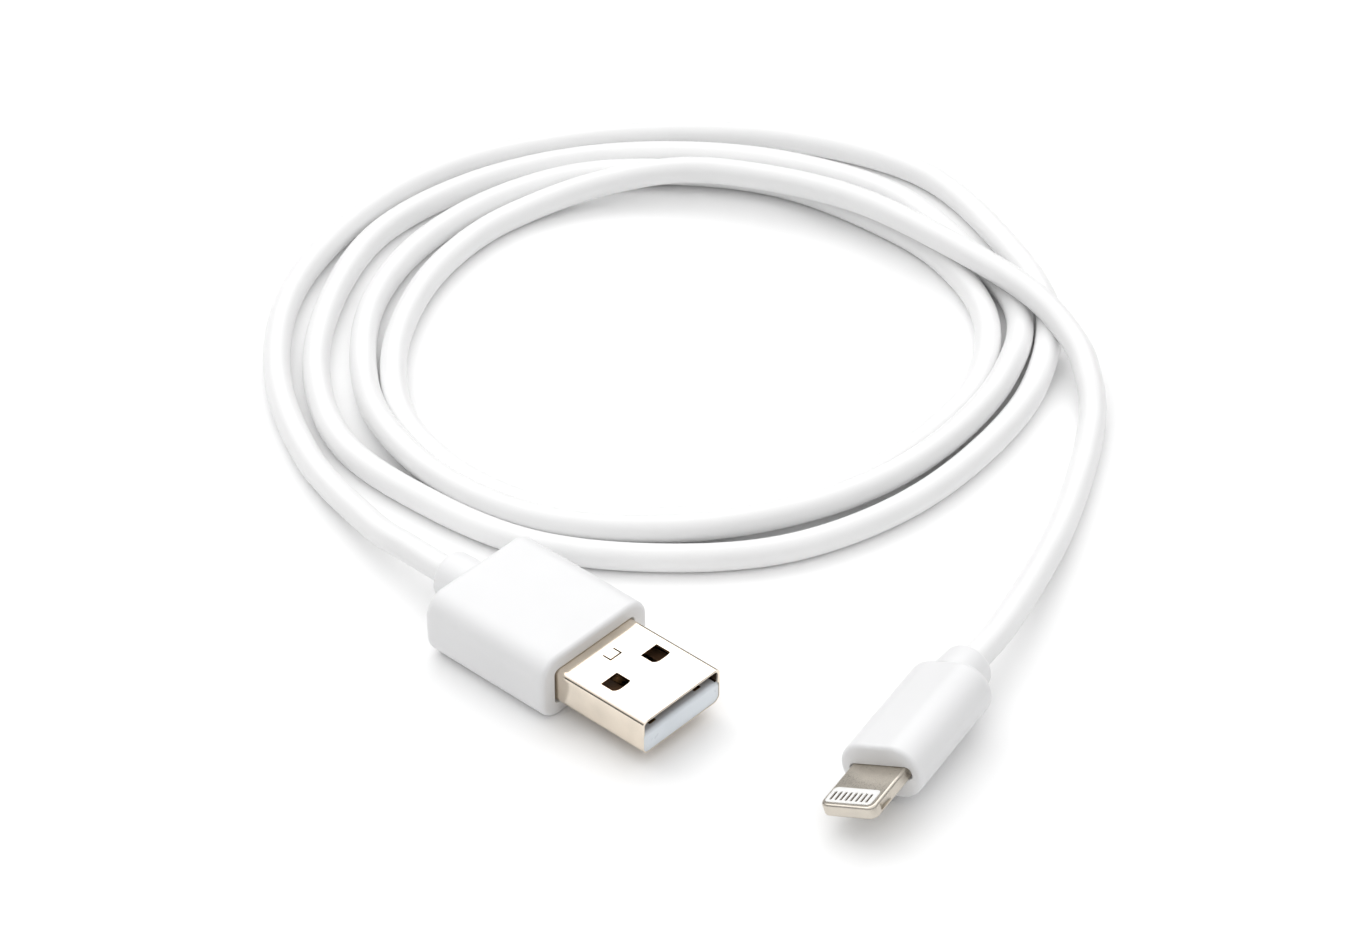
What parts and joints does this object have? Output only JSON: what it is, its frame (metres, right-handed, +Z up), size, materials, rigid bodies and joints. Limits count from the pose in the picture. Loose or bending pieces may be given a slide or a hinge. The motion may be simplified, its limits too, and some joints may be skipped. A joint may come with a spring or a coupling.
{
  "type": "charging cable",
  "caption": "Charging cable wound in a loose flat loop: a USB-A plug at one end, a round white cord, and a small flat reversible plug at the other end.",
  "frame": {"origin": "on the floor under the middle of the USB-A plug with its collar", "axes": "+Z up from the floor; the USB-A plug points along -Y and its cord leaves along +Y; +X is across the plug, towards the loop"},
  "size_m": [0.106, 0.1193, 0.008],
  "materials": {
    "white_jacket": "satin",
    "white_boot": "satin",
    "plated_steel": "bright",
    "tongue_plastic": "satin",
    "inner_plastic": "matte",
    "gold_contact": "bright",
    "board_green": "satin",
    "chip_black": "matte",
    "wire_red": "satin",
    "wire_white": "satin",
    "wire_green": "satin",
    "wire_black": "satin"
  },
  "bodies": {
    "root": {"usb_shell": "plated_steel", "usb_insulator": "tongue_plastic", "usb_contact_vbus": "gold_contact", "usb_contact_dminus": "gold_contact", "usb_contact_dplus": "gold_contact", "usb_contact_gnd": "gold_contact", "usb_inner_mould": "inner_plastic", "usb_boot": "white_boot", "usb_collar": "white_boot", "usb_jacket_end": "white_jacket", "usb_crimp": "plated_steel", "usb_wire_red": "wire_red", "usb_wire_white": "wire_white", "usb_wire_green": "wire_green", "usb_wire_black": "wire_black", "cord_jacket": "white_jacket", "pin_tab": "plated_steel", "pin_insert": "white_boot", "pin_contacts_top": "gold_contact", "pin_contacts_bottom": "gold_contact", "pin_board": "board_green", "pin_chip": "chip_black", "pin_shield": "plated_steel", "pin_inner_mould": "inner_plastic", "pin_boot": "white_boot", "pin_collar": "white_boot", "pin_jacket_end": "white_jacket", "pin_crimp": "plated_steel", "pin_wire_red": "wire_red", "pin_wire_white": "wire_white", "pin_wire_green": "wire_green", "pin_wire_black": "wire_black"}
  },
  "joints": []
}
